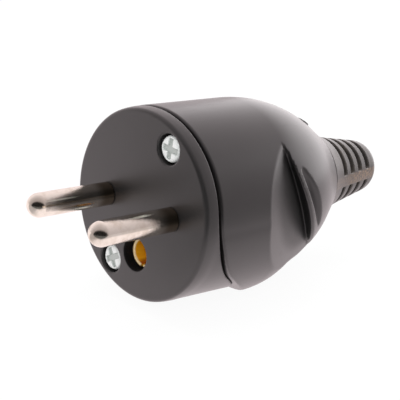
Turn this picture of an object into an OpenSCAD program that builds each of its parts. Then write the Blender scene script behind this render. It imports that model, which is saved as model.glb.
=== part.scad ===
// Two-pin and earth mains plug with a moulded grip and a ribbed cable boot.
// The origin is the middle of the face, between the two pins. The pins point
// along -Y, the cable leaves along +Y, and the earth contact lies below the pins.

/* [Pins] */
// Diameter of each contact pin
pin_d = 4.8; // [4.4:0.1:5.2]
// Length of each pin in front of the face
pin_length = 19; // [16:0.5:22]
// Diameter of each pin's neck, which passes through the face
pin_neck_d = 4.2; // [3.8:0.1:4.3]
// Gap between each pin's shoulder and the face
pin_lift = 0.1; // [0.05:0.05:0.3]
// Distance between the centres of the two pins
pin_spacing = 19; // [18:0.5:20]
// Distance of the earth contact below the line of the pins
earth_drop = 10; // [9.5:0.1:10.5]
// Bore of the sprung earth sleeve
earth_bore_d = 5; // [4.6:0.1:5.2]
// Wall of the earth sleeve
earth_wall = 0.75; // [0.6:0.05:0.9]
// Width of the slits in the earth sleeve
earth_slit = 0.75; // [0.5:0.05:1]
// Depth of the earth sleeve's mouth behind the face
earth_recess = 2; // [1:0.25:3]
// Length of the earth sleeve
earth_length = 12; // [11:0.5:13]

/* [Pin carrier] */
// Diameter of the face
face_d = 38.7; // [38:0.1:39.5]
// Width of the rim between the face and the seam
rim_w = 3; // [2.5:0.1:4]
// Rounding of the rim's front edge
rim_round = 0.8; // [0.4:0.1:1.2]
// Height of the corner where the seam turns back along the chin
seam_corner_z = -6.6; // [-8:0.1:-5.5]
// Angle by which the seam turns back there
seam_turn = 56; // [52:1:60]
// Rounding of that corner
seam_round = 18.5; // [12:0.5:20]
// Distance behind the rim where the chin starts to widen
chin_land = 1; // [0.6:0.1:2]
// Angle by which the chin widens from there
chin_draft = 1.9; // [1:0.1:2.2]
// Width of the seam
seam_gap = 0.6; // [0.3:0.1:1]
// Wall of the spigot that centres the carrier in the housing
spigot_wall = 1.5; // [1:0.1:2]
// Wall around each pin
boss_wall = 2.1; // [1.6:0.1:2.3]
// Wall around the earth sleeve
earth_boss_wall = 1.2; // [1:0.1:1.6]
// Depth of the pin bosses behind the face
boss_depth = 10; // [8:0.5:12]

/* [Housing] */
// Step from the rim out to the housing
housing_step = 0.05; // [0:0.05:0.3]
// Wall of the housing
wall = 2.4; // [2:0.1:2.8]
// Place where the housing starts to round in
straight_end = 24.4; // [22:0.2:26]
// Radius of the rounding in side view
shoulder_round = 34; // [30:1:38]
// Slope of the tail behind the rounding
tail_angle = 31; // [27:1:34]
// Diameter of the housing's rear edge
tail_d = 22.3; // [21.5:0.1:24]
// Thickness of the rear wall that holds the boot
rear_wall = 2.6; // [2:0.2:3]
// Drop of the lower lip, which stands proud of the chin
lip_drop = 2.1; // [1.6:0.1:2.4]
// Place where the lower lip starts to fade
lip_end = 22; // [21:0.5:24]
// Radius of that fade in side view
lip_round = 20; // [18:1:24]
// Distance of the small stop rib on top from the rear edge
rib_gap = 4.6; // [3.6:0.1:5.2]
// Height of that rib
rib_height = 0.4; // [0.3:0.05:0.9]
// Thickness of the rib
rib_t = 1.1; // [0.8:0.1:1.6]
// Width of the rib across the housing
rib_w = 8.2; // [6:0.2:10]

/* [Grip] */
// Place where each finger ramp starts
ramp_y = 17.5; // [16:0.5:19]
// Slope of the ramp
ramp_angle = 16.5; // [14:0.5:18]
// Rounding of the ramp across its slope
ramp_round = 42; // [36:1:50]
// Height of the ramp's middle
ramp_z = -2.5; // [-4:0.5:-1]
// Place of the fin's front edge at mid height
fin_y = 29.1; // [28:0.1:30]
// Width of the fin's edge
fin_width = 1.5; // [1.2:0.1:2]
// Slant of the fin in side view
fin_slant = 24; // [21:1:26]
// Forward lean of the fin's front wall
fin_lean = 24; // [18:1:26]
// Slant of the fin's rear wall, which narrows the fin towards its top
fin_rear_slant = 28; // [26:1:30]
// Forward lean of the fin's rear wall
fin_rear_lean = 28; // [24:1:32]
// Width of the groove behind the fin
groove_width = 5.3; // [4.5:0.1:6]
// Slant of the groove's rear wall
groove_slant = 21; // [18:1:24]
// Backward lean of the groove's rear wall
groove_lean = 49; // [45:1:52]

/* [Cable boot] */
// Diameter of the cable passage
cable_d = 8.4; // [7:0.2:9]
// Length of the boot up to its rounded end
boot_length = 18.8; // [18.5:0.1:22]
// Diameter where the boot's flare meets its taper
boot_d = 15.6; // [15:0.1:17]
// Place of that diameter behind the housing
boot_flare_length = 9.5; // [8:0.1:11]
// Slope of the taper
boot_taper = 9; // [6:0.5:10]
// Radius of the flare in side view
boot_flare_round = 35; // [30:1:40]
// Rounding of the boot's end
boot_end_round = 4; // [3:0.25:4.5]
// Width of the flat rim at the boot's end
boot_end_rim = 0.5; // [0.3:0.05:0.8]
// Number of grooves
boot_grooves = 4; // [2:1:4]
// Distance of the first groove behind the housing
groove_start = 6.6; // [5.5:0.1:7.5]
// Distance between grooves
groove_pitch = 3.45; // [3:0.05:3.6]
// Width of each groove
groove_cut = 1.5; // [1:0.1:1.8]
// Depth of each groove
groove_depth = 2; // [1:0.1:2.2]
// Width of the bar that bridges the grooves on each side
bar_w = 2.8; // [2:0.1:4]
// Diameter of the neck that passes the rear wall
neck_d = 14; // [12.5:0.5:15]
// Diameter of the flange inside the housing
flange_d = 17.6; // [16:0.2:18.4]
// Thickness of that flange
flange_t = 1.6; // [1.2:0.1:2]

/* [Housing screws] */
// Distance of the screws inside the rim
screw_inset = 4.4; // [4.2:0.05:4.6]
// Angle of the upper screw above the line of the pins; the lower one lies opposite
screw_angle = 60.8; // [59:0.2:63]
// Head diameter
screw_head_d = 5.2; // [4.8:0.1:5.4]
// Head thickness
screw_head_h = 1.9; // [1.5:0.1:2.2]
// Shank diameter
screw_shank_d = 3; // [2.6:0.1:3.4]
// Length below the head
screw_length = 16; // [12:1:20]
// Depth of the head below the face
screw_sink = 0.3; // [0.1:0.1:0.6]
// Wall of the screw bosses in the housing
screw_boss_wall = 1.7; // [1.4:0.05:2]
// Distance behind the rim where the carrier seats on the bosses
seat_depth = 3.5; // [3.5:0.1:4.5]

/* [Terminals] */
// Width and height of the terminal blocks
block_w = 6.8; // [6.4:0.1:7]
// Length of the terminal blocks
block_length = 9; // [8:0.5:9.5]
// Diameter of the wire holes
wire_d = 3.2; // [2.6:0.1:3.4]
// Depth of the wire holes
wire_depth = 7; // [6:0.5:7.5]
// Head diameter of the terminal screws
terminal_head_d = 5; // [4.4:0.1:5.4]
// Head thickness of the terminal screws
terminal_head_h = 2; // [1.6:0.1:2.4]
// Shank diameter of the terminal screws
terminal_shank_d = 3; // [2.6:0.1:3.4]
// Gap between a terminal screw's head and its block
terminal_lift = 0.2; // [0.1:0.05:0.4]

/* [Cord clamp] */
// Room between the clamp and the housing on each side
clamp_room = 1.3; // [0.6:0.1:1.6]
// Length of the clamp along the cable
clamp_length = 7; // [6:0.5:8]
// Thickness of the clamp's ears and arch
clamp_t = 2.2; // [1.8:0.1:2.6]
// Height where clamp and cradle meet, below the cable's axis
clamp_drop = 1.2; // [0.6:0.1:2]
// Edge that the clamp's ears leave outside the screw heads
clamp_edge = 0.3; // [0.2:0.1:0.5]
// Head diameter of the clamp screws
clamp_head_d = 4.6; // [4:0.1:4.8]
// Head thickness of the clamp screws
clamp_head_h = 1.8; // [1.4:0.1:2.2]
// Shank diameter of the clamp screws
clamp_shank_d = 2.6; // [2.2:0.1:2.8]
// Width of the rails that carry the cradle
rail_w = 3; // [2.4:0.1:3.4]
// Lower side of the rails
rail_bottom = -9; // [-9.2:0.1:-8]

/* [Hidden] */
$fn = 64;
// Clearance between moulded pieces that slide together
slip = 0.2;
// Clearance around metal pressed or screwed into plastic
snug = 0.05;
// Length by which a cut runs past its piece
over = 1;
// A length larger than the whole plug
reach = 60;

pin_r = pin_d / 2;
neck_r = pin_neck_d / 2;
face_r = face_d / 2;
skin_r = face_r + housing_step;
cavity_r = skin_r - wall;
spigot_r = cavity_r - slip;
chin_r = spigot_r - slip;
seat_y = rim_w + seat_depth;
earth_r = earth_bore_d / 2 + earth_wall;
earth_boss_r = earth_r + earth_boss_wall;
earth_end = earth_recess + earth_length;
screw_ring = face_r - screw_inset;
screw_r = screw_shank_d / 2;
screw_boss_r = screw_r + screw_boss_wall;
screw_seat_y = screw_sink + screw_head_h;
block_top = block_w / 2;
rail_x = pin_spacing / 2 - rail_w / 2 - over;
rail_top = -block_top - over;
cable_r = cable_d / 2;
clamp_y = earth_end + block_length + over;
clamp_mid = clamp_y + clamp_length / 2;
clamp_w = 2 * (ramp_x(clamp_y + clamp_length, rail_bottom, wall) - clamp_room);
clamp_spacing = clamp_w - clamp_head_d - 2 * clamp_edge;
clamp_ear_top = clamp_t - clamp_drop;
shoulder_end = [skin_r - shoulder_round * (1 - cos(tail_angle)),
                straight_end + shoulder_round * sin(tail_angle)];
rear_y = shoulder_end[1] + (shoulder_end[0] - tail_d / 2) / tan(tail_angle);
tail_in = rear_y - rear_wall;
rib_y = rear_y - rib_gap;
boot_y = rear_y + slip;

// Points of an arc round a centre
function arc(centre, r, from, to, steps = 12) =
    [for (i = [0:steps]) let (a = from + (to - from) * i / steps)
        centre + r * [cos(a), sin(a)]];

// Turns a shape built along Z to lie along Y, starting at y
module along_y(y) { translate([0, y, 0]) rotate([-90, 0, 0]) children(); }

// Round rod along Y
module rod(r, from, to) { along_y(from) cylinder(r = r, h = to - from); }

// Turned shape round Y, from points of radius and place
module turned(points) { along_y(0) rotate_extrude() polygon(points); }

module at_pin(side) { translate([side * pin_spacing / 2, 0, 0]) children(); }

module at_earth() { translate([0, 0, -earth_drop]) children(); }

module at_screw(side) {
    translate(side * screw_ring * [cos(screw_angle), 0, sin(screw_angle)]) children();
}

module at_clamp_screw(side) { translate([side * clamp_spacing / 2, clamp_mid, 0]) children(); }

// Everything in front of the seam, which runs straight across the plug
module seam_front(shift) {
    top_z = seam_corner_z + seam_round * tan(seam_turn / 2);
    bend = arc([rim_w + seam_round, top_z], seam_round, 180, 180 + seam_turn);
    bend_end = bend[len(bend) - 1];
    run = (bend_end[1] + reach) / cos(seam_turn);
    translate([-reach, shift, 0]) rotate([90, 0, 90]) linear_extrude(2 * reach)
        polygon(concat([[-reach, reach], [rim_w, reach]], bend,
                       [[bend_end[0] + run * sin(seam_turn), -reach], [-reach, -reach]]));
}

// Pan head screw along -Z with its head's underside at the origin
module pan_screw(head_d, head_h, shank_d, length) {
    edge = head_h * 0.45;
    slot_w = head_d * 0.2;
    slot_l = head_d * 0.66;
    slot_h = head_h * 0.6;
    difference() {
        union() {
            rotate_extrude()
                polygon(concat([[0, 0], [head_d / 2, 0]],
                               arc([head_d / 2 - edge, head_h - edge], edge, 0, 90, 6),
                               [[0, head_h]]));
            translate([0, 0, -length]) cylinder(d = shank_d, h = length + head_h / 4);
        }
        for (turn = [0, 90]) rotate([0, 0, turn])
            translate([-slot_l / 2, -slot_w / 2, head_h - slot_h]) cube([slot_l, slot_w, head_h]);
    }
}

// Carrier: face with rim and chin, bosses, rails and the cradle for the cable
module pin_carrier() {
    color("#2b2b2d") difference() {
        union() {
            turned(concat([[0, 0]], arc([face_r - rim_round, rim_round], rim_round, -90, 0, 6),
                          [[face_r, rim_w], [0, rim_w]]));
            carrier_spigot();
            carrier_chin();
            for (side = [-1, 1]) {
                at_pin(side) rod(pin_r + boss_wall, rim_w - over, boss_depth);
                intersection() {
                    at_screw(side) rod(screw_boss_r + over, rim_w - over, seat_y);
                    rod(spigot_r, 0, seat_y);
                }
                carrier_rail(side);
            }
            at_earth() rod(earth_boss_r, rim_w - over, earth_end);
            carrier_cradle();
        }
        for (side = [-1, 1]) {
            at_pin(side) rod(neck_r + snug, -over, boss_depth + over);
            at_screw(side) {
                rod(screw_head_d / 2 + 2 * slip, -over, screw_seat_y);
                rod(screw_r + slip, 0, seat_y + over);
            }
            at_clamp_screw(side) translate([0, 0, rail_bottom - over])
                cylinder(d = clamp_shank_d + 2 * snug, h = reach);
        }
        at_earth() rod(earth_r + snug, -over, earth_end + over);
        rod(cable_r, boss_depth + over, reach);
    }
}

module carrier_spigot() {
    difference() {
        rod(spigot_r, rim_w - over, seat_y - slip);
        rod(spigot_r - spigot_wall, 0, seat_y);
    }
}

module carrier_chin() {
    flare_y = rim_w + chin_land;
    intersection() {
        turned([[chin_r, rim_w - over], [face_r, rim_w - over], [face_r, flare_y],
                [face_r + reach * tan(chin_draft), flare_y + reach], [chin_r, flare_y + reach]]);
        seam_front(0);
    }
}

module carrier_rail(side) {
    translate([side * rail_x - rail_w / 2, rim_w - over, rail_bottom])
        cube([rail_w, clamp_y + over, rail_top - rail_bottom]);
}

module carrier_cradle() {
    translate([-clamp_w / 2, clamp_y, rail_bottom])
        cube([clamp_w, clamp_length, -clamp_drop - rail_bottom]);
}

// Radius of the housing's tail at y, moved inwards by inset
function tail_r(y, inset) = shoulder_end[0] - inset / cos(tail_angle)
    - (y - shoulder_end[1]) * tan(tail_angle);

// Outline of the housing from its front to y = end, moved inwards by inset
function housing_outline(inset, end) =
    concat([[0, -over], [skin_r - inset, -over]],
           arc([skin_r - shoulder_round, straight_end], shoulder_round - inset, 0, tail_angle),
           [[tail_r(end, inset), end], [0, end]]);

// Half width over the finger ramps at y and height z, moved inwards by inset
function ramp_x(y, z, inset) = skin_r - (y - ramp_y) * tan(ramp_angle)
    - (ramp_round - sqrt(pow(ramp_round - inset, 2) - pow(z - ramp_z, 2))) / cos(ramp_angle);

// Housing: one moulding with a lower lip, a stop rib and a finger grip on each side
module housing() {
    color("#333335") difference() {
        union() {
            difference() {
                housing_skin();
                housing_cavity();
                seam_front(seam_gap);
                for (side = [0, 1]) mirror([side, 0, 0]) finger_grip();
                rod(neck_d / 2 + slip, tail_in - over, rear_y + over);
            }
            for (side = [-1, 1]) housing_boss(side);
        }
        for (side = [-1, 1])
            at_screw(side) rod(screw_r + snug, 0, screw_seat_y + screw_length + over);
    }
}

module housing_skin() {
    lip_sweep = 45;
    turned(housing_outline(0, rear_y));
    translate([0, 0, -lip_drop])
        turned(concat([[0, -over], [skin_r, -over]],
                      arc([skin_r - lip_round, lip_end], lip_round, 0, lip_sweep),
                      [[0, lip_end + lip_round * sin(lip_sweep)]]));
    stop_rib();
}

// Short rib across the top of the tail
module stop_rib() {
    top = tail_r(rib_y, 0) + rib_height;
    root = tail_r(rib_y + rib_t, wall / 2);
    translate([-rib_w / 2, rib_y, root]) cube([rib_w, rib_t, top - root]);
}

// Inside of the housing, kept clear of the finger grips and open for the boot's flange
module housing_cavity() {
    side_end = flange_d / 2 + slip;
    difference() {
        turned(housing_outline(wall, tail_in));
        for (side = [0, 1]) mirror([side, 0, 0]) difference() {
            translate([side_end, -reach, -reach]) cube(2 * reach);
            ramp_body(wall);
        }
    }
}

// What the finger ramp leaves standing, moved inwards by inset
module ramp_body(inset) {
    translate([skin_r, ramp_y, ramp_z]) rotate([0, 0, ramp_angle]) translate([-ramp_round, 0, 0])
        rod(ramp_round - inset, -2 * reach, 2 * reach);
}

// Half of space in front of a wall that stands at y on the housing's side
module in_front_of(y, slant, lean) {
    translate([skin_r, y, 0]) rotate([slant, 0, lean])
        translate([-2 * reach, -4 * reach, -2 * reach]) cube(4 * reach);
}

// Finger grip: a ramp that runs down to a leaning fin, and a groove behind the fin
module finger_grip() {
    difference() {
        in_front_of(fin_y, fin_slant, -fin_lean);
        ramp_body(0);
    }
    difference() {
        in_front_of(fin_y + fin_width + groove_width, groove_slant, groove_lean);
        in_front_of(fin_y + fin_width, fin_rear_slant, -fin_rear_lean);
    }
}

// Screw boss: the lower one reaches forward inside the chin, clear of its wall
// and of the earth boss
module housing_boss(side) {
    difference() {
        at_screw(side) rod(screw_boss_r, seat_y, screw_seat_y + screw_length + 2 * over);
        difference() {
            seam_front(seam_gap);
            rod(chin_r - slip, -over, reach);
        }
        at_earth() rod(earth_boss_r + slip, 0, earth_end + slip);
    }
}

// Radius of the boot's taper at a place behind the housing
function boot_r(y) = boot_d / 2 - (y - boot_flare_length) * tan(boot_taper);

// Boot: inner flange, neck, flared collar and ribbed taper with a bar on each side
module cable_boot() {
    outward = [cos(boot_taper), sin(boot_taper)];
    flare_centre = [boot_d / 2, rear_y + boot_flare_length] + boot_flare_round * outward;
    flare_start = asin((flare_centre[1] - boot_y) / boot_flare_round);
    end_centre = [boot_r(boot_length) - boot_end_round / cos(boot_taper), rear_y + boot_length];
    end_angle = acos((cable_r + boot_end_rim - end_centre[0]) / boot_end_round);
    end_y = end_centre[1] + boot_end_round * sin(end_angle);
    flange_y = tail_in - slip;
    color("#3b3836") difference() {
        turned(concat([[cable_r, flange_y - flange_t], [flange_d / 2, flange_y - flange_t],
                       [flange_d / 2, flange_y], [neck_d / 2, flange_y], [neck_d / 2, boot_y]],
                      arc(flare_centre, -boot_flare_round, flare_start, boot_taper),
                      arc(end_centre, boot_end_round, boot_taper, end_angle, 6),
                      [[cable_r, end_y]]));
        difference() {
            for (i = [0:boot_grooves - 1]) boot_groove(groove_start + i * groove_pitch);
            translate([-reach, 0, -bar_w / 2]) cube([2 * reach, 2 * reach, bar_w]);
        }
    }
}

module boot_groove(y) {
    mid = rear_y + y;
    difference() {
        rod(skin_r, mid - groove_cut / 2, mid + groove_cut / 2);
        rod(boot_r(y) - groove_depth, mid - groove_cut, mid + groove_cut);
    }
}

// Terminal block with a wire hole from behind and a screw hole from above
module terminal_block(front) {
    difference() {
        translate([-block_top, front, -block_top]) cube([block_w, block_length, block_w]);
        rod(wire_d / 2, front + block_length - wire_depth, front + block_length + over);
        translate([0, front + block_length / 2, 0])
            cylinder(d = terminal_shank_d + 2 * snug, h = block_w);
    }
}

module terminal_screw(front) {
    translate([0, front + block_length / 2, block_top + terminal_lift])
        pan_screw(terminal_head_d, terminal_head_h, terminal_shank_d, block_top);
}

module contact_pin(side) {
    color("#d8cfc8") at_pin(side) {
        translate([0, pin_r - pin_length, 0]) sphere(pin_r);
        rod(pin_r, pin_r - pin_length, -pin_lift);
        rod(neck_r, -pin_lift - over, boss_depth + over);
        terminal_block(boss_depth);
    }
}

module left_pin() { contact_pin(-1); }

module right_pin() { contact_pin(1); }

// Earth contact: a sleeve slit from the front, on its own terminal block
module earth_contact() {
    slit_length = earth_length - 3 * earth_wall;
    color("#c9922e") at_earth() {
        difference() {
            rod(earth_r, earth_recess, earth_end + over);
            rod(earth_bore_d / 2, earth_recess - over, earth_end - earth_wall);
            translate([-earth_slit / 2, earth_recess - over, -earth_r - over])
                cube([earth_slit, slit_length + over, 2 * (earth_r + over)]);
        }
        terminal_block(earth_end);
    }
}

module left_terminal_screw() { color("#c4c6c8") at_pin(-1) terminal_screw(boss_depth); }

module right_terminal_screw() { color("#c4c6c8") at_pin(1) terminal_screw(boss_depth); }

module earth_terminal_screw() { color("#c4c6c8") at_earth() terminal_screw(earth_end); }

module housing_screw(side) {
    color("#d0d2d4") at_screw(side) translate([0, screw_seat_y, 0]) rotate([90, 0, 0])
        pan_screw(screw_head_d, screw_head_h, screw_shank_d, screw_length);
}

module upper_housing_screw() { housing_screw(1); }

module lower_housing_screw() { housing_screw(-1); }

// Clamp: an arch over the cable with an ear for a screw on each side
module cord_clamp() {
    color("#333335") difference() {
        union() {
            translate([-clamp_w / 2, clamp_y, -clamp_drop]) cube([clamp_w, clamp_length, clamp_t]);
            rod(cable_r + clamp_t, clamp_y, clamp_y + clamp_length);
        }
        rod(cable_r, clamp_y - over, clamp_y + clamp_length + over);
        translate([-reach / 2, clamp_y - over, -clamp_drop - reach])
            cube([reach, clamp_length + 2 * over, reach]);
        for (side = [-1, 1]) at_clamp_screw(side) {
            translate([0, 0, -reach / 2]) cylinder(d = clamp_shank_d + 2 * slip, h = reach);
            translate([0, 0, clamp_ear_top]) cylinder(d = clamp_head_d + 2 * slip, h = reach);
        }
    }
}

module clamp_screw(side) {
    color("#c4c6c8") at_clamp_screw(side) translate([0, 0, clamp_ear_top])
        pan_screw(clamp_head_d, clamp_head_h, clamp_shank_d, clamp_ear_top - rail_bottom - over);
}

module left_clamp_screw() { clamp_screw(-1); }

module right_clamp_screw() { clamp_screw(1); }

pin_carrier();
housing();
cable_boot();
left_pin();
right_pin();
earth_contact();
left_terminal_screw();
right_terminal_screw();
earth_terminal_screw();
upper_housing_screw();
lower_housing_screw();
cord_clamp();
left_clamp_screw();
right_clamp_screw();
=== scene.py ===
"""Looks of the mains plug: black moulded housing and face, bright pins, ribbed rubber boot."""
import math

import bpy
import numpy as np
from mathutils import Matrix, Vector


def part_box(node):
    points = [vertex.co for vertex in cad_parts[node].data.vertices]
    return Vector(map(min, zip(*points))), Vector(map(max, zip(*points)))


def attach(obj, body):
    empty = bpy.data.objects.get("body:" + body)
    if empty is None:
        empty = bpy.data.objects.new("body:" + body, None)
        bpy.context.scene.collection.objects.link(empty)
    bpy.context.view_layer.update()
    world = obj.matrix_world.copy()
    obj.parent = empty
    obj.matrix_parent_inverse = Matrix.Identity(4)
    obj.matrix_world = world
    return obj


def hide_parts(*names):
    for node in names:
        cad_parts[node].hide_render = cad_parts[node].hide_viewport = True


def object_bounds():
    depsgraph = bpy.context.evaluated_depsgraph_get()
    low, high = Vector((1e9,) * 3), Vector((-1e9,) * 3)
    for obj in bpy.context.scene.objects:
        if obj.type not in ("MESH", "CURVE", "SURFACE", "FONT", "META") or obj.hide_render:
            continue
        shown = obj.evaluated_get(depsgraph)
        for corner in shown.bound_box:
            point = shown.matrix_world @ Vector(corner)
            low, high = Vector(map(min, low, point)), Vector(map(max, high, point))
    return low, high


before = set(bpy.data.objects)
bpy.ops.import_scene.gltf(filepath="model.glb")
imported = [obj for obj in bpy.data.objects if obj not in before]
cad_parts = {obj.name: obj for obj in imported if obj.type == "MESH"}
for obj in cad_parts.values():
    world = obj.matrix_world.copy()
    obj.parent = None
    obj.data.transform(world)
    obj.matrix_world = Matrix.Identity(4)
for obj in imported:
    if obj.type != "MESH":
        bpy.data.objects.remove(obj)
cad_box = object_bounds()

MM = 0.001

# Sizes in millimetres. Those that the solids have too are the same there, unless a comment says otherwise.

# Pins
PIN_R = 2.4
PIN_LENGTH = 19.0
PIN_X = 9.5
PIN_NECK_R = 2.1
PIN_LIFT = 0.1
PIN_BOSS_WALL = 2.1
PIN_BOSS_END = 10.0

# Earth sleeve, measured from the face
EARTH_Z = -10.0
EARTH_BORE_R = 2.5
EARTH_WALL = 0.75
EARTH_SLIT = 0.75
EARTH_FRONT = 2.0
EARTH_LENGTH = 12.0
EARTH_BOSS_WALL = 1.2

# Terminals behind the pins and the sleeve
BLOCK_HALF = 3.4
BLOCK_LENGTH = 9.0
WIRE_R = 1.6
WIRE_DEPTH = 7.0
SCREW_HOLE_R = 1.55

# Face and its rim
FACE_R = 19.35
RIM_W = 3.0
RIM_ROUND = 0.8
RIM_CROWN = 14.0
CHIN_LAND = 1.0
CHIN_DRAFT = math.radians(1.9)
CHIN_BLEND = 20.0
SPIGOT_WALL = 1.5

# Seam between face and housing, which in the scene closes towards the chin
SEAM_CORNER_Z = -6.6
SEAM_TURN = math.radians(56)
SEAM_ROUND = 18.5
SEAM_GAP = 0.6
SEAM_CLOSED = 0.93
SEAM_CLOSES_Z = (-4.0, -13.0)
CHIN_EDGE = 1.2
CHIN_EDGE_Z = (-14.0, -18.0)

# Housing
HOUSING_STEP = 0.05
WALL = 2.4
STRAIGHT_END = 24.4
SHOULDER_ROUND = 34.0
TAIL_ANGLE = math.radians(31)
TAIL_R = 11.15
REAR_WALL = 2.6
LIP_DROP = 2.1
LIP_END = 22.0
LIP_ROUND = 20.0
LIP_SWEEP = math.radians(45)
LIP_BLEND = 12.0

# Rib on top of the housing
RIB_GAP = 4.6
RIB_HEIGHT = 0.4
RIB_CROWN = 0.5
RIB_T = 1.1
RIB_W = 8.2
RIB_ROOT = 3.0
RIB_BEVEL = 1.0
BEVEL_SHARE = 0.7

# Finger grip; fin and groove lie as in the photograph, up to half a millimetre from those of the solids
RAMP_Y = 17.5
RAMP_Z = -2.5
RAMP_ANGLE = math.radians(16.5)
RAMP_ROUND = 42.0
RAMP_EDGE = 2.2
RAMP_EDGE_FADE = 2.0
FIN_Y = 29.0
FIN_WIDTH = 1.7
FIN_SLANT = math.radians(25.9)
FIN_LEAN = math.radians(-24)
FIN_REAR_SLANT = math.radians(27.2)
FIN_REAR_LEAN = math.radians(-28)
FIN_EDGE = 0.5
FIN_EDGE_TOP = 0.25
FIN_TOP_Z = 11.0
FIN_RUN = 12.0
GROOVE_WIDTH = 4.9
GROOVE_SLANT = math.radians(22.4)
GROOVE_LEAN = math.radians(49)
GROOVE_FLOOR = 0.7
GROOVE_EDGE = 0.9
GROOVE_EDGE_FADE = 1.5

# Boot; the narrow joint in front of it is the scene's own, and the gap there is wider than in the solids
CABLE_R = 4.2
BOOT_R = 7.8
BOOT_LENGTH = 18.8
BOOT_TAPER = math.radians(9)
FLARE_LENGTH = 9.5
FLARE_ROUND = 35.0
END_ROUND = 4.0
END_RIM = 0.5
CUTS = 4
CUT_START = 6.6
CUT_PITCH = 3.45
CUT_WIDTH = 1.5
CUT_DEPTH = 2.0
BAR_W = 2.8
BOOT_NECK_R = 7.0
FLANGE_R = 8.8
FLANGE_T = 1.6
BOOT_GAP = 0.4
JOINT_END = 1.2
JOINT_R = 9.6

# Housing screws; their threads, crosses and rounded heads are the scene's own
SCREW_INSET = 4.4
SCREW_ANGLE = math.radians(60.8)
SCREW_SINK = 0.3
SCREW_LENGTH = 16.0
SHANK_R = 1.5
HEAD_R = 2.6
HEAD_H = 1.9
HEAD_ROUND = 0.8
HEAD_ROOT = 0.4
CROSS_HALF_W = 0.62
CROSS_REACH = 2.2
CROSS_DEPTH = 0.6
CROSS_DRAFT = 0.08
CROSS_TAPER = 0.5
UPPER_TURN = -0.1
LOWER_TURN = 0.5
THREAD_PITCH = 0.7
THREAD_DEPTH = 0.28
THREAD_START = 0.8
THREAD_RUN_IN = 0.5
THREAD_SLOPE = 0.8
SCREW_BOSS_WALL = 1.7
SEAT_DEPTH = 3.5
PAD_W = 1.0

# Cord clamp and the rails that carry it
CLAMP_LENGTH = 7.0
CLAMP_DROP = 1.2
CLAMP_ROOM = 1.3
CLAMP_SHANK_R = 1.3
CLAMP_HEAD_R = 2.3
CLAMP_EDGE = 0.3
RAIL_W = 3.0
RAIL_BOTTOM = -9.0

# Clearances, and how far pieces of one moulding and cuts reach past what they meet
SLIP = 0.2
SNUG = 0.05
PAST = 1.0
OVERLAP = 0.1

# Roundings of edges, from the sharpest to the softest
HAIR = 0.05
FINE = 0.1
CRISP = 0.15
SMALL = 0.2
PLAIN = 0.25
SOFT = 0.3
FULL = 0.4

# What follows from those
SKIN_R = FACE_R + HOUSING_STEP
CAVITY_R = SKIN_R - WALL
SPIGOT_R = CAVITY_R - SLIP
CHIN_R = SPIGOT_R - SLIP
SEAT_Y = RIM_W + SEAT_DEPTH
PIN_BOSS_R = PIN_R + PIN_BOSS_WALL
EARTH_R = EARTH_BORE_R + EARTH_WALL
EARTH_END = EARTH_FRONT + EARTH_LENGTH
EARTH_BOSS_R = EARTH_R + EARTH_BOSS_WALL
SHOULDER_END_R = SKIN_R - SHOULDER_ROUND * (1 - math.cos(TAIL_ANGLE))
SHOULDER_END_Y = STRAIGHT_END + SHOULDER_ROUND * math.sin(TAIL_ANGLE)
REAR_Y = SHOULDER_END_Y + (SHOULDER_END_R - TAIL_R) / math.tan(TAIL_ANGLE)
TAIL_IN = REAR_Y - REAR_WALL
RIB_Y = REAR_Y - RIB_GAP
RIB_TOP = SHOULDER_END_R - (RIB_Y - SHOULDER_END_Y) * math.tan(TAIL_ANGLE) + RIB_HEIGHT
RAMP_IN = RAMP_ROUND - math.sqrt((RAMP_ROUND - WALL) ** 2 - (RAIL_BOTTOM - RAMP_Z) ** 2)
RAIL_X = PIN_X - RAIL_W / 2 - PAST
RAIL_TOP = -BLOCK_HALF - PAST
CLAMP_Y = EARTH_END + BLOCK_LENGTH + PAST
CLAMP_END = CLAMP_Y + CLAMP_LENGTH
CLAMP_HALF = (SKIN_R - (CLAMP_END - RAMP_Y) * math.tan(RAMP_ANGLE)
              - RAMP_IN / math.cos(RAMP_ANGLE) - CLAMP_ROOM)
CLAMP_X = CLAMP_HALF - CLAMP_HEAD_R - CLAMP_EDGE
SCREW_RING = FACE_R - SCREW_INSET
SCREW_X = SCREW_RING * math.cos(SCREW_ANGLE)
SCREW_Z = SCREW_RING * math.sin(SCREW_ANGLE)
SCREW_SEAT = SCREW_SINK + HEAD_H
SCREW_END = SCREW_SEAT + SCREW_LENGTH
BOSS_R = SHANK_R + SCREW_BOSS_WALL


# Shapes as distances from their surface, negative inside

# Limits that keep the reckoning finite: a smallest length, and cosines between walls that meet
TINY = 1e-6
LEAST_COSINE = -0.98
MOST_COSINE = 0.9995


class Form:
    """Distance from a surface at many points, with its slope there if edges are to be rounded."""

    def __init__(self, value, slope=None):
        self.value, self.slope = value, slope

    def __add__(self, other):
        if not isinstance(other, Form):
            return Form(self.value + other, self.slope)
        return Form(self.value + other.value, None if self.slope is None else self.slope + other.slope)

    def __mul__(self, factor):
        return Form(self.value * factor, None if self.slope is None else self.slope * factor)

    def __neg__(self):
        return self * -1.0

    def __sub__(self, other):
        return self + -1.0 * other

    def __rsub__(self, other):
        return -self + other

    __radd__, __rmul__ = __add__, __mul__


def pick(test, a, b):
    """The first form where a test holds, the second elsewhere."""
    slope = None if a.slope is None else np.where(test, a.slope, b.slope)
    return Form(np.where(test, a.value, b.value), slope)


def magnitude(a):
    """A form without its sign."""
    return pick(a.value < 0, -a, a)


def length(a, b):
    """Distance from an axis, by two coordinates across it."""
    d = np.maximum(np.hypot(a.value, b.value), TINY)
    return Form(d, None if a.slope is None else (a.value * a.slope + b.value * b.slope) / d)


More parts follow.
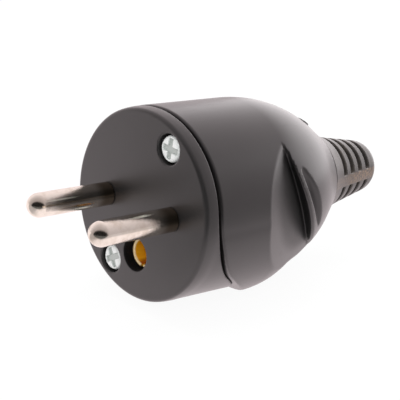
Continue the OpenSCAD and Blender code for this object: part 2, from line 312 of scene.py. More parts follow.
def both(a, b, r=0.0):
    """What two shapes share, its edge rounded to the radius r at any angle between them."""
    larger = pick(a.value > b.value, a, b)
    if a.slope is None:
        return larger
    c = np.clip((a.slope * b.slope).sum(0), LEAST_COSINE, MOST_COSINE)
    p, q = a.value + r, b.value + r
    u, v = p - c * q, q - c * p
    span = 1 - c * c
    d = np.sqrt(np.maximum(p * u + q * v, TINY ** 2) / span)
    return pick((u > 0) & (v > 0), Form(d - r, (u * a.slope + v * b.slope) / (span * d)), larger)


def either(a, b, r=0.0):
    """Two shapes joined, the corner between them filled to the radius r."""
    return -both(-a, -b, r)


def less(a, b, r=0.0):
    """The first shape without the second."""
    return both(a, -b, r)


def slab(v, low, high):
    """Space between two values of a coordinate."""
    return both(low - v, v - high)


def rod(x, z, y, r, low, high, edge=0.0):
    """Round rod along Y."""
    return both(length(x, z) - r, slab(y, low, high), edge)


def block(x, y, z, xs, ys, zs, edge=0.0):
    """Box between two values of each coordinate."""
    return both(both(slab(x, *xs), slab(y, *ys), edge), slab(z, *zs), edge)


def bent(r, y, r0, start, bend, sweep):
    """Turned outline that runs straight, bends in and goes on as a cone."""
    dr, dy = r - (r0 - bend), y - start
    cone = dr * math.cos(sweep) + dy * math.sin(sweep)
    swing = np.arctan2(dy.value, dr.value)
    return pick(dy.value < 0, dr, pick(swing < sweep, length(dr, dy), cone)) - bend


def share(v, ends):
    """How far values have come from the first end of a stretch to the second, from 0 to 1."""
    return np.clip((v.value - ends[0]) / (ends[1] - ends[0]), 0, 1)


def fade(first, second, reach):
    """Share of the second shape where two shapes meet, from 0 to 1 over a reach."""
    return np.clip(0.5 + (second.value - first.value) / reach, 0, 1)


def before_seam(y, z):
    """Space in front of the seam, which runs down behind the rim and then back along the chin."""
    dy, dz = y - RIM_W - SEAM_ROUND, z - SEAM_CORNER_Z - SEAM_ROUND * math.tan(SEAM_TURN / 2)
    run = dy * math.cos(SEAM_TURN) + dz * math.sin(SEAM_TURN)
    swing = np.arctan2(-dz.value, -dy.value)
    bend = pick((swing < SEAM_TURN) & (dy.value < 0), -length(dy, dz), run)
    return pick(dz.value > 0, dy, bend) + SEAM_ROUND


def wall_normal(slant, lean):
    """Direction in which a wall of the right finger grip faces."""
    return -math.sin(lean) * math.cos(slant), math.cos(lean) * math.cos(slant), math.sin(slant)


def before_wall(x, y, z, place, slant, lean):
    """Space in front of a leaning wall that stands at a place along the housing's side."""
    nx, ny, nz = wall_normal(slant, lean)
    return (x - SKIN_R) * nx + (y - place) * ny + z * nz


def finger_grip(body, side, y, z):
    """Takes the ramp in front of the fin and the groove behind it out of the housing."""
    across = (side - SKIN_R) * math.cos(RAMP_ANGLE) + (y - RAMP_Y) * math.sin(RAMP_ANGLE) + RAMP_ROUND
    ramp = length(across, z - RAMP_Z) - RAMP_ROUND
    crest = FIN_EDGE * np.clip((FIN_TOP_Z - z.value) / FIN_RUN, FIN_EDGE_TOP / FIN_EDGE, 1)
    wall = before_wall(side, y, z, FIN_Y, FIN_SLANT, FIN_LEAN)
    edge = RAMP_EDGE + (crest - RAMP_EDGE) * fade(-ramp, wall, RAMP_EDGE_FADE)
    body = less(body, both(-ramp, wall, PLAIN), edge)
    fin_rear = before_wall(side, y, z, FIN_Y + FIN_WIDTH, FIN_REAR_SLANT, FIN_REAR_LEAN)
    rise = before_wall(side, y, z, FIN_Y + FIN_WIDTH + GROOVE_WIDTH, GROOVE_SLANT, GROOVE_LEAN)
    edge = GROOVE_EDGE + (crest - GROOVE_EDGE) * fade(rise, -fin_rear, GROOVE_EDGE_FADE)
    return less(body, both(rise, -fin_rear, GROOVE_FLOOR), edge), ramp


def top_rib(x, y, z, skin):
    """Low rib across the top, bevelled at its ends, its top following the slope."""
    half = RIB_W / 2
    rib = block(x, y, z, (-half, half), (RIB_Y, RIB_Y + RIB_T), (RIB_TOP - RIB_ROOT, RIB_TOP), SOFT)
    rib = both(rib, (magnitude(x) - half) * BEVEL_SHARE + (z - RIB_TOP + RIB_BEVEL) * BEVEL_SHARE, FULL)
    return both(rib, skin - RIB_CROWN, SMALL)


def housing_field(x, y, z):
    """Skin with lip and rib, cut at the seam, with finger grips, cavity and screw bosses."""
    r, side = length(x, z), magnitude(x)
    skin = bent(r, y, SKIN_R, STRAIGHT_END, SHOULDER_ROUND, TAIL_ANGLE)
    lip = bent(length(x, z + LIP_DROP), y, SKIN_R, LIP_END, LIP_ROUND, LIP_SWEEP)
    body = either(either(skin, lip, LIP_BLEND), top_rib(x, y, z, skin), SOFT)
    body = both(body, y - REAR_Y, SMALL)
    gap = SEAM_GAP * (1 - SEAM_CLOSED * share(z, SEAM_CLOSES_Z))
    body = both(body, -before_seam(y - gap, z), FULL + CHIN_EDGE * share(z, CHIN_EDGE_Z))
    body, ramp = finger_grip(body, side, y, z)
    cavity = both(skin + WALL, y - TAIL_IN, SOFT)
    body = less(body, both(cavity, either(ramp + WALL, side - FLANGE_R - SLIP), SOFT), SMALL)
    body = less(body, both(r - BOOT_NECK_R - SLIP, TAIL_IN - PAST - y), SMALL)
    chin_room = both(before_seam(y - SEAM_GAP, z), CHIN_R - SLIP - r)
    earth_room = rod(x, z - EARTH_Z, y, EARTH_BOSS_R + SLIP, 0, EARTH_END + SLIP)
    for turn in (-1, 1):
        boss = rod(x - turn * SCREW_X, z - turn * SCREW_Z, y, BOSS_R, SEAT_Y, SCREW_END + 2 * PAST, SMALL)
        body = either(body, less(less(boss, chin_room), earth_room), FULL)
    for turn in (-1, 1):
        hole = rod(x - turn * SCREW_X, z - turn * SCREW_Z, y, SHANK_R + SNUG, 0, SCREW_END + PAST)
        body = less(body, hole, FINE)
    return body


def carrier_field(x, y, z):
    """Face, rim and chin, with bosses, spigot, rails and clamp bed behind them."""
    r, root = length(x, z), RIM_W - PAST
    cone = (r - FACE_R) * math.cos(CHIN_DRAFT) - (y - RIM_W - CHIN_LAND) * math.sin(CHIN_DRAFT)
    crown = length(r - FACE_R + RIM_CROWN, y - RIM_W) - RIM_CROWN
    rim = pick(y.value < RIM_W, crown, either(r - FACE_R, cone, CHIN_BLEND))
    body = both(rim, before_seam(y, z), SOFT)
    body = less(both(body, -y, RIM_ROUND), both(r - CHIN_R, RIM_W - y), FINE)
    spigot = both(both(r - SPIGOT_R, SPIGOT_R - SPIGOT_WALL - r), slab(y, root, SEAT_Y - SLIP))
    body = either(body, spigot, FINE)
    for side in (-1, 1):
        body = either(body, rod(x - side * PIN_X, z, y, PIN_BOSS_R, root, PIN_BOSS_END, FINE), SOFT)
        pad = rod(x - side * SCREW_X, z - side * SCREW_Z, y, BOSS_R + PAD_W, root, SEAT_Y)
        body = either(body, both(pad, r - SPIGOT_R), FINE)
        rail = block(x - side * RAIL_X, y, z, (-RAIL_W / 2, RAIL_W / 2), (root, CLAMP_Y + RIM_W),
                     (RAIL_BOTTOM, RAIL_TOP), FINE)
        body = either(body, rail, SMALL)
    body = either(body, rod(x, z - EARTH_Z, y, EARTH_BOSS_R, root, EARTH_END, FINE), SMALL)
    bed = block(x, y, z, (-CLAMP_HALF, CLAMP_HALF), (CLAMP_Y, CLAMP_END), (RAIL_BOTTOM, -CLAMP_DROP), FINE)
    body = either(body, bed, FINE)
    for side in (-1, 1):
        from_screw = length(x - side * SCREW_X, z - side * SCREW_Z)
        from_clamp_screw = length(x - side * CLAMP_X, y - CLAMP_Y - CLAMP_LENGTH / 2)
        body = less(body, length(x - side * PIN_X, z) - PIN_NECK_R - SNUG, HAIR)
        body = less(body, both(from_screw - HEAD_R - 2 * SLIP, y - SCREW_SEAT), PLAIN)
        body = less(body, from_screw - SHANK_R - SLIP)
        body = less(body, from_clamp_screw - CLAMP_SHANK_R - SNUG)
    body = less(body, length(x, z - EARTH_Z) - EARTH_R - SNUG, SOFT)
    return less(body, both(r - CABLE_R, PIN_BOSS_END + PAST - y))


def boot_taper_r(s):
    """Radius of the boot's taper at a distance behind the housing."""
    return BOOT_R - (s - FLARE_LENGTH) * math.tan(BOOT_TAPER)


def boot_outside(r, s):
    """Boot's outline without its cuts: a flare, a taper and a rounded end."""
    c, t = math.cos(BOOT_TAPER), math.sin(BOOT_TAPER)
    flare = FLARE_ROUND - length(r - BOOT_R - FLARE_ROUND * c, s - FLARE_LENGTH - FLARE_ROUND * t)
    taper = (r - BOOT_R) * c + (s - FLARE_LENGTH) * t
    end_r = boot_taper_r(BOOT_LENGTH) - END_ROUND / c
    end = length(r - end_r, s - BOOT_LENGTH) - END_ROUND
    past_flare = (s - FLARE_LENGTH) * c - (r - BOOT_R) * t
    past_taper = (s - BOOT_LENGTH) * c - (r - end_r) * t
    outside = pick(past_flare.value < 0, flare, pick(past_taper.value < 0, taper, end))
    rim_s = BOOT_LENGTH + math.sqrt(END_ROUND ** 2 - (CABLE_R + END_RIM - end_r) ** 2)
    return both(both(outside, BOOT_GAP - s, SMALL), s - rim_s, CRISP)


def boot_field(x, y, z):
    """Ribbed boot with the neck and flange that hold it, and the cable's passage."""
    r, s = length(x, z), y - REAR_Y
    outer = boot_outside(r, s)
    for i in range(CUTS):
        mid = CUT_START + i * CUT_PITCH
        ring = slab(s, mid - CUT_WIDTH / 2, mid + CUT_WIDTH / 2)
        deep = both(both(ring, boot_taper_r(mid) - CUT_DEPTH - r, FULL), BAR_W / 2 - magnitude(z), SOFT)
        outer = less(outer, deep, PLAIN)
    outer = less(outer, both(s - JOINT_END, JOINT_R - r), FINE)
    flange_s = -REAR_WALL - SLIP
    neck = both(r - BOOT_NECK_R, slab(s, flange_s - OVERLAP, BOOT_GAP + OVERLAP))
    flange = both(r - FLANGE_R, slab(s, flange_s - FLANGE_T, flange_s), SMALL)
    return less(either(either(neck, flange), outer), r - CABLE_R, CRISP)


def terminal_field(x, y, z, front):
    """Terminal block on an axis along Y, with its wire hole and screw hole."""
    half, end = (-BLOCK_HALF, BLOCK_HALF), front + BLOCK_LENGTH
    body = block(x, y, z, half, (front, end), half, PLAIN)
    body = less(body, rod(x, z, y, WIRE_R, end - WIRE_DEPTH, end + PAST), FINE)
    return less(body, both(length(x, y - front - BLOCK_LENGTH / 2) - SCREW_HOLE_R, -z), FINE)


def pin_field(side):
    """Pin with a round tip, its neck through the face and its terminal."""
    def field(x, y, z):
        x = x - side * PIN_X
        r, tip = length(x, z), PIN_R - PIN_LENGTH
        shaft = pick(y.value < tip, length(r, y - tip), r) - PIN_R
        shaft = both(shaft, y + PIN_LIFT, HAIR)
        neck = rod(x, z, y, PIN_NECK_R, -PAST, PIN_BOSS_END + PAST)
        return either(either(shaft, neck), terminal_field(x, y, z, PIN_BOSS_END))
    return field


def earth_field(x, y, z):
    """Split sleeve with its terminal."""
    z = z - EARTH_Z
    sleeve = rod(x, z, y, EARTH_R, EARTH_FRONT, EARTH_END + PAST, SMALL)
    sleeve = less(sleeve, rod(x, z, y, EARTH_BORE_R, EARTH_FRONT - PAST, EARTH_END - EARTH_WALL), SOFT)
    slit = both(magnitude(x) - EARTH_SLIT / 2, y - EARTH_END + 3 * EARTH_WALL)
    return either(less(sleeve, slit, FINE), terminal_field(x, y, z, EARTH_END))


def screw_field(side, turn):
    """Pan head with a cross recess on a threaded shank."""
    def field(x, y, z):
        dx, dz = x - side * SCREW_X, z - side * SCREW_Z
        r, deep = length(dx, dz), y - SCREW_SINK
        head = both(both(r - HEAD_R, -deep, HEAD_ROUND), deep - HEAD_H, FINE)
        u = dx * math.cos(turn) + dz * math.sin(turn)
        v = dz * math.cos(turn) - dx * math.sin(turn)
        for a, b in ((u, v), (v, u)):
            arm = both(magnitude(a) - CROSS_HALF_W + deep * CROSS_DRAFT,
                       magnitude(b) - CROSS_REACH + deep * CROSS_TAPER, FINE)
            head = less(head, both(arm, deep - CROSS_DEPTH, FINE), FINE)
        wave = (y.value / THREAD_PITCH - np.arctan2(dz.value, dx.value) / (2 * math.pi)) % 1.0 - 0.5
        rise = None if y.slope is None else y.slope * (2 / THREAD_PITCH)
        start = np.clip((y.value - SCREW_SEAT - THREAD_START) / THREAD_RUN_IN, 0, 1)
        thread = r - SHANK_R + magnitude(Form(wave * 2, rise)) * (THREAD_DEPTH * start)
        shank = both(thread * THREAD_SLOPE, slab(y, SCREW_SEAT - HEAD_ROOT, SCREW_END), CRISP)
        return either(head, shank)
    return field


# Meshing of those shapes

NEWTON_STEPS = 6
GRID_START = 1.7
GRID_SPARE = 2.7
FLATTEST_SLOPE = 0.25


def rounded(field, points):
    """Values and slopes of a field at points, with its edges rounded."""
    form = field(*(Form(points[:, k], np.eye(3)[:, k:k + 1]) for k in range(3)))
    return form.value[:, None], form.slope.T


def net_over(field, low, high, step):
    """Points and quads of a net over a field's sharp shape, one point in each cell on the surface."""
    axes = [np.arange(lo - GRID_START * step, hi + GRID_SPARE * step, step) for lo, hi in zip(low, high)]
    value = field(*(Form(v) for v in np.meshgrid(*axes, indexing="ij", sparse=True))).value
    cells = tuple(n - 1 for n in value.shape)
    total, count = np.zeros(cells + (3,)), np.zeros(cells)
    faces = []
    for k in range(3):
        p, q = [slice(None)] * 3, [slice(None)] * 3
        p[k], q[k] = slice(None, -1), slice(1, None)
        a, b = value[tuple(p)], value[tuple(q)]
        hit = np.argwhere((a < 0) != (b < 0))
        a, b = a[tuple(hit.T)], b[tuple(hit.T)]
        at = np.stack([axes[m][hit[:, m]] for m in range(3)], 1)
        at[:, k] += step * a / (a - b)
        i, j = (k + 1) % 3, (k + 2) % 3
        ring = []
        for di, dj in ((0, 0), (-1, 0), (-1, -1), (0, -1)):
            cell = hit.copy()
            cell[:, i] += di
            cell[:, j] += dj
            np.add.at(total, tuple(cell.T), at)
            np.add.at(count, tuple(cell.T), 1)
            ring.append(np.ravel_multi_index(tuple(cell.T), cells))
        quad = np.stack(ring, 1)
        faces.append(np.where((a < 0)[:, None], quad, quad[:, ::-1]))
    used, faces = np.unique(np.concatenate(faces), return_inverse=True)
    return total.reshape(-1, 3)[used] / count.reshape(-1, 1)[used], faces.reshape(-1, 4)


def skin_of(field, low, high, step):
    """Points, quads and normals of a field's surface: the net, drawn onto the rounded shape."""
    points, faces = net_over(field, low, high, step)
    for _ in range(NEWTON_STEPS):
        f, g = rounded(field, points)
        move = f * g / np.maximum((g * g).sum(1), FLATTEST_SLOPE)[:, None]
        points -= np.clip(move, -step / 2, step / 2)
    g = rounded(field, points)[1]
    return points, faces, g / np.maximum(np.linalg.norm(g, axis=1), TINY)[:, None]


def moulded(name, node, material, field, step):
    """Builds a piece from its field inside its node's box, in that node's place."""
    low, high = (np.array(corner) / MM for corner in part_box(node))
    points, faces, normals = skin_of(field, low, high, step)
    mesh = bpy.data.meshes.new(name)
    mesh.from_pydata((points * MM).tolist(), [], faces.tolist())
    mesh.shade_smooth()
    mesh.normals_split_custom_set_from_vertices(normals.tolist())
    mesh.materials.append(material)
    piece = bpy.data.objects.new(name, mesh)
    bpy.context.scene.collection.objects.link(piece)
    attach(piece, "root")
    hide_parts(node)
    return piece


# Shader trees

NOISE_MEAN = 0.5


class Wire:
    """A socket of a shader tree that takes part in arithmetic, and adds the nodes for it."""

    def __init__(self, tree, socket=None):
        self.tree, self.socket = tree, socket

    def node(self, kind, settings=(), inputs=(), out=0):
        """Adds a node: its settings first, then the values or links of its sockets."""
        new = self.tree.nodes.new(kind)
        for key, value in dict(settings).items():
            setattr(new, key, value)
        for key, value in dict(inputs).items():
            if isinstance(value, Wire):
                self.tree.links.new(value.socket, new.inputs[key])
            else:
                new.inputs[key].default_value = value
        return Wire(self.tree, new.outputs[out] if new.outputs else None)

    def combine(self, operation, first, second):
        """Reckons with numbers, or with vectors if one of the two is a vector."""
        vector = any(isinstance(w, Wire) and w.socket.type != "VALUE" for w in (first, second))
        kind = "ShaderNodeVectorMath" if vector else "ShaderNodeMath"
        return self.node(kind, {"operation": operation}, {0: first, 1: second})

    def __add__(self, other):
        return self.combine("ADD", self, other)

    def __radd__(self, other):
        return self.combine("ADD", other, self)

    def __sub__(self, other):
        return self.combine("SUBTRACT", self, other)

    def __rsub__(self, other):
        return self.combine("SUBTRACT", other, self)

    def __mul__(self, other):
        return self.combine("MULTIPLY", self, other)

    def __rmul__(self, other):
        return self.combine("MULTIPLY", other, self)

    def ramp(self, low, high, from_, to):
        """Maps a stretch of values to another, softly, and holds the ends."""
        return self.node("ShaderNodeMapRange", {"interpolation_type": "SMOOTHSTEP", "clamp": True},
                         {"Value": self, "From Min": low, "From Max": high, "To Min": from_, "To Max": to})

    def rise(self, low, high):
        """Goes from 0 to 1 over a stretch of values."""
        return self.ramp(low, high, 0.0, 1.0)

    def fall(self, low, high):
        """Goes from 1 to 0 over a stretch of values."""
        return self.ramp(low, high, 1.0, 0.0)

    def blend(self, first, second):
        """Mixes two colours by this value."""
        return self.node("ShaderNodeMix", {"data_type": "RGBA"}, {0: self, 6: first, 7: second}, out=2)


def rgb(r, g, b):
    """Opaque colour."""
    return (r, g, b, 1.0)


def finish_tree(name):
    """New material with an empty shader tree."""
    material = bpy.data.materials.new(name)
    material.use_nodes = True
    material.node_tree.nodes.clear()
    return material, Wire(material.node_tree)


def close(tree, surface):
    """Ends a material's tree with its surface."""
    tree.node("ShaderNodeOutputMaterial", (), {"Surface": surface})


def place(tree, stretch=(1, 1, 1)):
    """Place on the object in millimetres, stretched along each axis."""
    spot = tree.node("ShaderNodeTexCoord", out="Object")
    return spot * tuple(s / MM for s in stretch)


def noise(tree, spot, scale, detail, rough=0.5):
    """Cloudy values around a mean, by place."""
    return tree.node("ShaderNodeTexNoise", {"noise_dimensions": "3D"},
                     {"Vector": spot, "Scale": scale, "Detail": detail, "Roughness": rough})


def bumped(tree, height, strength, depth):
    """Normal of a surface with a fine relief of a depth in millimetres."""
    return tree.node("ShaderNodeBump", (), {"Strength": strength, "Distance": depth * MM, "Height": height})


def dot(first, second):
    return first.node("ShaderNodeVectorMath", {"operation": "DOT_PRODUCT"}, {0: first, 1: second}, "Value")


def along_y(spot):
    return spot.node("ShaderNodeSeparateXYZ", (), {0: spot}, out="Y")


def along_z(spot):
    return spot.node("ShaderNodeSeparateXYZ", (), {0: spot}, out="Z")


def absolute(value):
    return value.node("ShaderNodeMath", {"operation": "ABSOLUTE"}, {0: value})


def from_axis(spot, x=0.0, z=0.0):
    """Distance of a spot from an axis along Y."""
    across = (spot - (x, 0.0, z)) * (1.0, 0.0, 1.0)
    return spot.node("ShaderNodeVectorMath", {"operation": "LENGTH"}, {0: across}, "Value")


# Plastics of the face and the housing

FACE_BLACK, FACE_SHEEN = rgb(0.014, 0.013, 0.013), rgb(0.019, 0.0175, 0.0175)
HOUSING_BLACK, HOUSING_SHEEN = rgb(0.007, 0.0065, 0.0065), rgb(0.010, 0.009, 0.009)
# Painted shade, black, at the fins of the finger grips, and painted light, a lighter grey, on their ramps
FIN_SHADE_BLACK, RAMP_LIGHT_GREY = rgb(0.003, 0.003, 0.003), rgb(0.028, 0.026, 0.026)
# Painted shade on the wall of the earth socket's hole
HOLE_SHADE_BLACK = rgb(0.002, 0.002, 0.002)
PLASTIC_IOR = 1.5
COAT = 0.57
COAT_ROUGH = 0.33
SATIN = 0.36
ROUGH_BY_GRAIN = 0.10
ROUGH_BY_CLOUD = 0.08
ROUGH_BY_RUBS = 0.05
GRAIN_RELIEF = 0.08
GRAIN_DEPTH = 0.02
CLOUD_SHARE = 0.7
CLOUD_TONES = (0.3, 0.7)
RUB_STRETCH = (1.2, 0.16, 0.5)
RUBBED = (0.56, 0.74)
# Millimetres over which the finger grips' look, duller and with painted light, comes in below the skin, and
# over which the painted shade at the fin goes out in front of it
GRIP_FADE = (0.5, 1.8)
FIN_FADE = (-1.8, -0.3)
GRIP_ROUGH = 0.2
RAMP_COAT = 0.6
# Radii over which the painted shade, black, on the wall of the earth socket's hole ends
HOLE_FADE = (EARTH_R + 0.15, EARTH_R + 0.35)
HOLE_ROUGH = 0.6


def grip_hollow(spot):
    """How far a spot lies in the finger grips, from 0 on the round skin to 1."""
    over = spot.node("ShaderNodeMath", {"operation": "MAXIMUM"}, {0: along_y(spot) - STRAIGHT_END, 1: 0.0})
    reach = spot.node("ShaderNodeMath", {"operation": "SQRT"}, {0: SHOULDER_ROUND ** 2 - over * over})
    return (reach - from_axis(spot) + (SKIN_R - SHOULDER_ROUND)).rise(*GRIP_FADE)


def clear_of_fin(spot):
    """1 on the ramp of a finger grip, 0 at the fin."""
    folded = spot.node("ShaderNodeVectorMath", {"operation": "ABSOLUTE"}, {0: spot})
    side = folded * (1.0, 0.0, 0.0) + spot * (0.0, 1.0, 1.0)
    ahead = dot(side - (SKIN_R, FIN_Y, 0.0), wall_normal(FIN_SLANT, FIN_LEAN))
    return ahead.fall(*FIN_FADE)


def dull_and_shade_grips(spot, tone, rough):
    """Tone, roughness and coat of the housing: duller in the finger grips, with painted light, a lighter
    grey, on their ramps and painted shade, black, at their fins.
    """
    hollow, clear = grip_hollow(spot), clear_of_fin(spot)
    tone = hollow.blend(tone, clear.blend(FIN_SHADE_BLACK, RAMP_LIGHT_GREY))
    return tone, rough + hollow * GRIP_ROUGH, (1.0 - hollow * (1.0 - clear * RAMP_COAT)) * COAT


def shade_earth_hole(spot, tone, rough):
    """Tone, roughness and coat of the face, with painted shade, black, on the wall of the earth socket's
    hole.
    """
    hole = from_axis(spot, z=EARTH_Z).fall(*HOLE_FADE)
    return hole.blend(tone, HOLE_SHADE_BLACK), rough + hole * HOLE_ROUGH, (1.0 - hole) * COAT


def satin_plastic(name, dark, light, shade):
    """Moulded black plastic: fine grain, faint flow clouds, a few handling rubs and painted light and shade
    of its own.
    """
    material, tree = finish_tree(name)
    spot = place(tree)
    cloud = noise(tree, spot, scale=0.12, detail=3)
    grain = noise(tree, spot, scale=3.2, detail=3, rough=0.6)
    rubs = noise(tree, place(tree, RUB_STRETCH), scale=0.7, detail=4, rough=0.7).rise(*RUBBED)
    tone = (cloud * CLOUD_SHARE + grain * (1 - CLOUD_SHARE)).rise(*CLOUD_TONES).blend(dark, light)
    rough = SATIN + (grain - NOISE_MEAN) * ROUGH_BY_GRAIN + (cloud - NOISE_MEAN) * ROUGH_BY_CLOUD
    tone, rough, coat = shade(spot, tone, rough + rubs * ROUGH_BY_RUBS)
    close(tree, tree.node("ShaderNodeBsdfPrincipled", (), {
        "Base Color": tone, "Roughness": rough, "Normal": bumped(tree, grain, GRAIN_RELIEF, GRAIN_DEPTH),
        "IOR": PLASTIC_IOR, "Coat Weight": coat, "Coat Roughness": COAT_ROUGH}))
    return material


# Rubber of the boot

RUBBER_BLACK, RUBBER_DUST = rgb(0.040, 0.036, 0.034), rgb(0.095, 0.080, 0.068)
WORN_BROWN = rgb(0.24, 0.155, 0.095)
# Painted shade in the joint between the boot and the housing
JOINT_SHADE_BLACK = rgb(0.003, 0.003, 0.003)
RUBBER_IOR = 1.5
RUBBER_COAT = 0.3
RUBBER_COAT_ROUGH = 0.25
RUBBER_ROUGH = 0.40
ROUGH_BY_PEEL = 0.2
ROUGH_BY_DUST = 0.08
JOINT_ROUGH = 0.5
PEEL_RELIEF = 0.5
PEEL_DEPTH = 0.03
DUSTY = (0.38, 0.72)
GRITTY = (0.5, 0.75)
DUST_SHARE = 0.7
WORN = (0.40, 0.60)
LEAST_WEAR = 0.1
# Millimetres behind the housing over which wear of the bars grows, and its share in front of that
WEAR_GROWS = (5.0, 14.0)
WEAR_IN_FRONT = 0.4
# Heights over which a bar's look ends, and the place where the joint's painted shade ends
BAR_FADE = (BAR_W / 2 - 0.4, BAR_W / 2 + 0.1)
JOINT_FADE = (JOINT_END + 0.1, JOINT_END + 0.4)


def boot_rubber():
    """Dull black rubber with a dusty bloom, brown wear on its bars and painted shade, black, at the joint in
    front.
    """
    material, tree = finish_tree("boot_rubber")
    spot = place(tree)
    s = along_y(spot) - REAR_Y
    peel = noise(tree, spot, scale=1.6, detail=4, rough=0.6)
    dust = noise(tree, spot, scale=0.35, detail=4, rough=0.65).rise(*DUSTY)
    grit = noise(tree, spot, scale=6.0, detail=2, rough=0.6).rise(*GRITTY)
    wear = noise(tree, spot, scale=1.9, detail=4, rough=0.75).ramp(*WORN, LEAST_WEAR, 1.0)
    wear = wear * s.ramp(*WEAR_GROWS, WEAR_IN_FRONT, 1.0)
    bar = absolute(along_z(spot)).fall(*BAR_FADE) * wear
    joint = s.fall(*JOINT_FADE)
    tone = (dust * DUST_SHARE + grit * (1 - DUST_SHARE)).blend(RUBBER_BLACK, RUBBER_DUST)
    tone = joint.blend(bar.blend(tone, WORN_BROWN), JOINT_SHADE_BLACK)
    rough = RUBBER_ROUGH + (peel - NOISE_MEAN) * ROUGH_BY_PEEL + dust * ROUGH_BY_DUST + joint * JOINT_ROUGH
    close(tree, tree.node("ShaderNodeBsdfPrincipled", (), {
        "Base Color": tone, "Roughness": rough, "Normal": bumped(tree, peel, PEEL_RELIEF, PEEL_DEPTH),
        "IOR": RUBBER_IOR, "Coat Weight": (1.0 - joint) * RUBBER_COAT, "Coat Roughness": RUBBER_COAT_ROUGH}))
    return material


# Metals

# The last nickel is painted shade and a painted dark reflection of the face, near the pins' roots
NICKEL, NICKEL_STAIN, NICKEL_ROOT_SHADE = rgb(0.90, 0.85, 0.76), rgb(0.78, 0.71, 0.61), rgb(0.34, 0.28, 0.21)
BRASS, BRASS_STAIN = rgb(1.0, 0.52, 0.015), rgb(1.0, 0.46, 0.01)
# Painted light and shade on the earth sleeve: shade deeper in and at top and bottom, a highlight on the
# front edge and shadow outside it
BRASS_DEPTH_SHADE, BRASS_SHADE = rgb(1.0, 0.30, 0.005), rgb(0.45, 0.11, 0.01)
BRASS_EDGE_HIGHLIGHT, BRASS_RIM_SHADOW = rgb(0.95, 0.74, 0.42), rgb(0.05, 0.02, 0.006)
# The last zinc is painted shade, grey, in the cross recesses of the screws
ZINC, ZINC_STAIN, ZINC_RECESS_SHADE = rgb(0.93, 0.95, 0.94), rgb(0.84, 0.87, 0.86), rgb(0.52, 0.55, 0.53)
ROUGH_BY_MARKS = 0.08
ROUGH_BY_STAIN = 0.05
STAINED = (0.42, 0.72)
# Places along the pins between which their painted shade and painted dark reflection of the face come in
# towards the face
ROOT_FADE = (-5.0, -2.0)
# Earth sleeve: depths over which its painted shade deepens the gold and its front edge ends, heights from
# its axis over which it gets painted shade, and radii over which the bore's painted shade and the edge's
# painted highlight end
BORE_DEEPENS = (2.0, 5.0)
EDGE_DEPTH = (0.15, 0.5)
BORE_SHADE = (1.8, 2.5)
BORE_FADE = (EARTH_BORE_R + 0.1, EARTH_BORE_R + 0.4)
EDGE_FADE = (EARTH_BORE_R + 0.3, EARTH_BORE_R + 0.5)
# Screw heads: depths at which the painted shade, grey, in the cross starts and ends, and radii over which it
# ends
CROSS_STARTS = (0.12, 0.4)
CROSS_ENDS = (0.9, 1.3)
CROSS_FADE = (1.9, 2.4)


def pin_root_shade(spot, tone):
    """Darkens the pins towards the face with painted shade and a painted dark reflection of the face."""
    return along_y(spot).rise(*ROOT_FADE).blend(tone, NICKEL_ROOT_SHADE)


def sleeve_light_and_shade(spot, tone):
    """Paints light and shade on the earth sleeve: a painted highlight on its inner front edge with painted
    shadow outside it, and painted shade inside that deepens its gold further in and towards the top and
    bottom of the bore.
    """
    r, deep = from_axis(spot, z=EARTH_Z), along_y(spot) - EARTH_FRONT
    height = absolute(along_z(spot) - EARTH_Z)
    inside = deep.rise(*BORE_DEEPENS).blend(tone, BRASS_DEPTH_SHADE)
    inside = height.rise(*BORE_SHADE).blend(inside, BRASS_SHADE)
    tone = r.fall(*BORE_FADE).blend(tone, inside)
    edge = r.rise(*EDGE_FADE).blend(BRASS_EDGE_HIGHLIGHT, BRASS_RIM_SHADOW)
    return deep.fall(*EDGE_DEPTH).blend(tone, edge)


def cross_recess_shade(spot, tone):
    """Painted shade, grey, at the bottom of the cross in the housing screws' heads."""
    deep = along_y(spot) - SCREW_SINK
    r = spot.node("ShaderNodeMath", {"operation": "MINIMUM"}, {
        0: from_axis(spot, SCREW_X, SCREW_Z), 1: from_axis(spot, -SCREW_X, -SCREW_Z)})
    recess = deep.rise(*CROSS_STARTS) * deep.fall(*CROSS_ENDS) * r.fall(*CROSS_FADE)
    return recess.blend(tone, ZINC_RECESS_SHADE)


def plated(name, colour, stained, shade, rough, stretch, relief, depth, metal):
    """Bright metal with fine marks drawn out along its length, faint stains and painted light and shade of
    its own.
    """
    material, tree = finish_tree(name)
    spot = place(tree)
    marks = noise(tree, place(tree, stretch), scale=1.0, detail=4, rough=0.65)
    stain = noise(tree, spot, scale=0.45, detail=3).rise(*STAINED)
    close(tree, tree.node("ShaderNodeBsdfPrincipled", (), {
        "Base Color": shade(spot, stain.blend(colour, stained)), "Metallic": metal,
        "Roughness": rough + (marks - NOISE_MEAN) * ROUGH_BY_MARKS + stain * ROUGH_BY_STAIN,
        "Normal": bumped(tree, marks, relief, depth)}))
    return material


face_plastic = satin_plastic("face_plastic", FACE_BLACK, FACE_SHEEN, shade_earth_hole)
housing_plastic = satin_plastic("housing_plastic", HOUSING_BLACK, HOUSING_SHEEN, dull_and_shade_grips)
rubber = boot_rubber()
nickel = plated("nickel_plate", NICKEL, NICKEL_STAIN, pin_root_shade,
                rough=0.12, stretch=(0.6, 9.0, 0.6), relief=0.4, depth=0.03, metal=1.0)
brass = plated("brass", BRASS, BRASS_STAIN, sleeve_light_and_shade,
               rough=0.40, stretch=(2.0, 0.4, 2.0), relief=0.15, depth=0.01, metal=0.1)
zinc = plated("zinc_plate", ZINC, ZINC_STAIN, cross_recess_shade,
              rough=0.42, stretch=(2.0, 2.0, 2.0), relief=0.15, depth=0.01, metal=0.25)

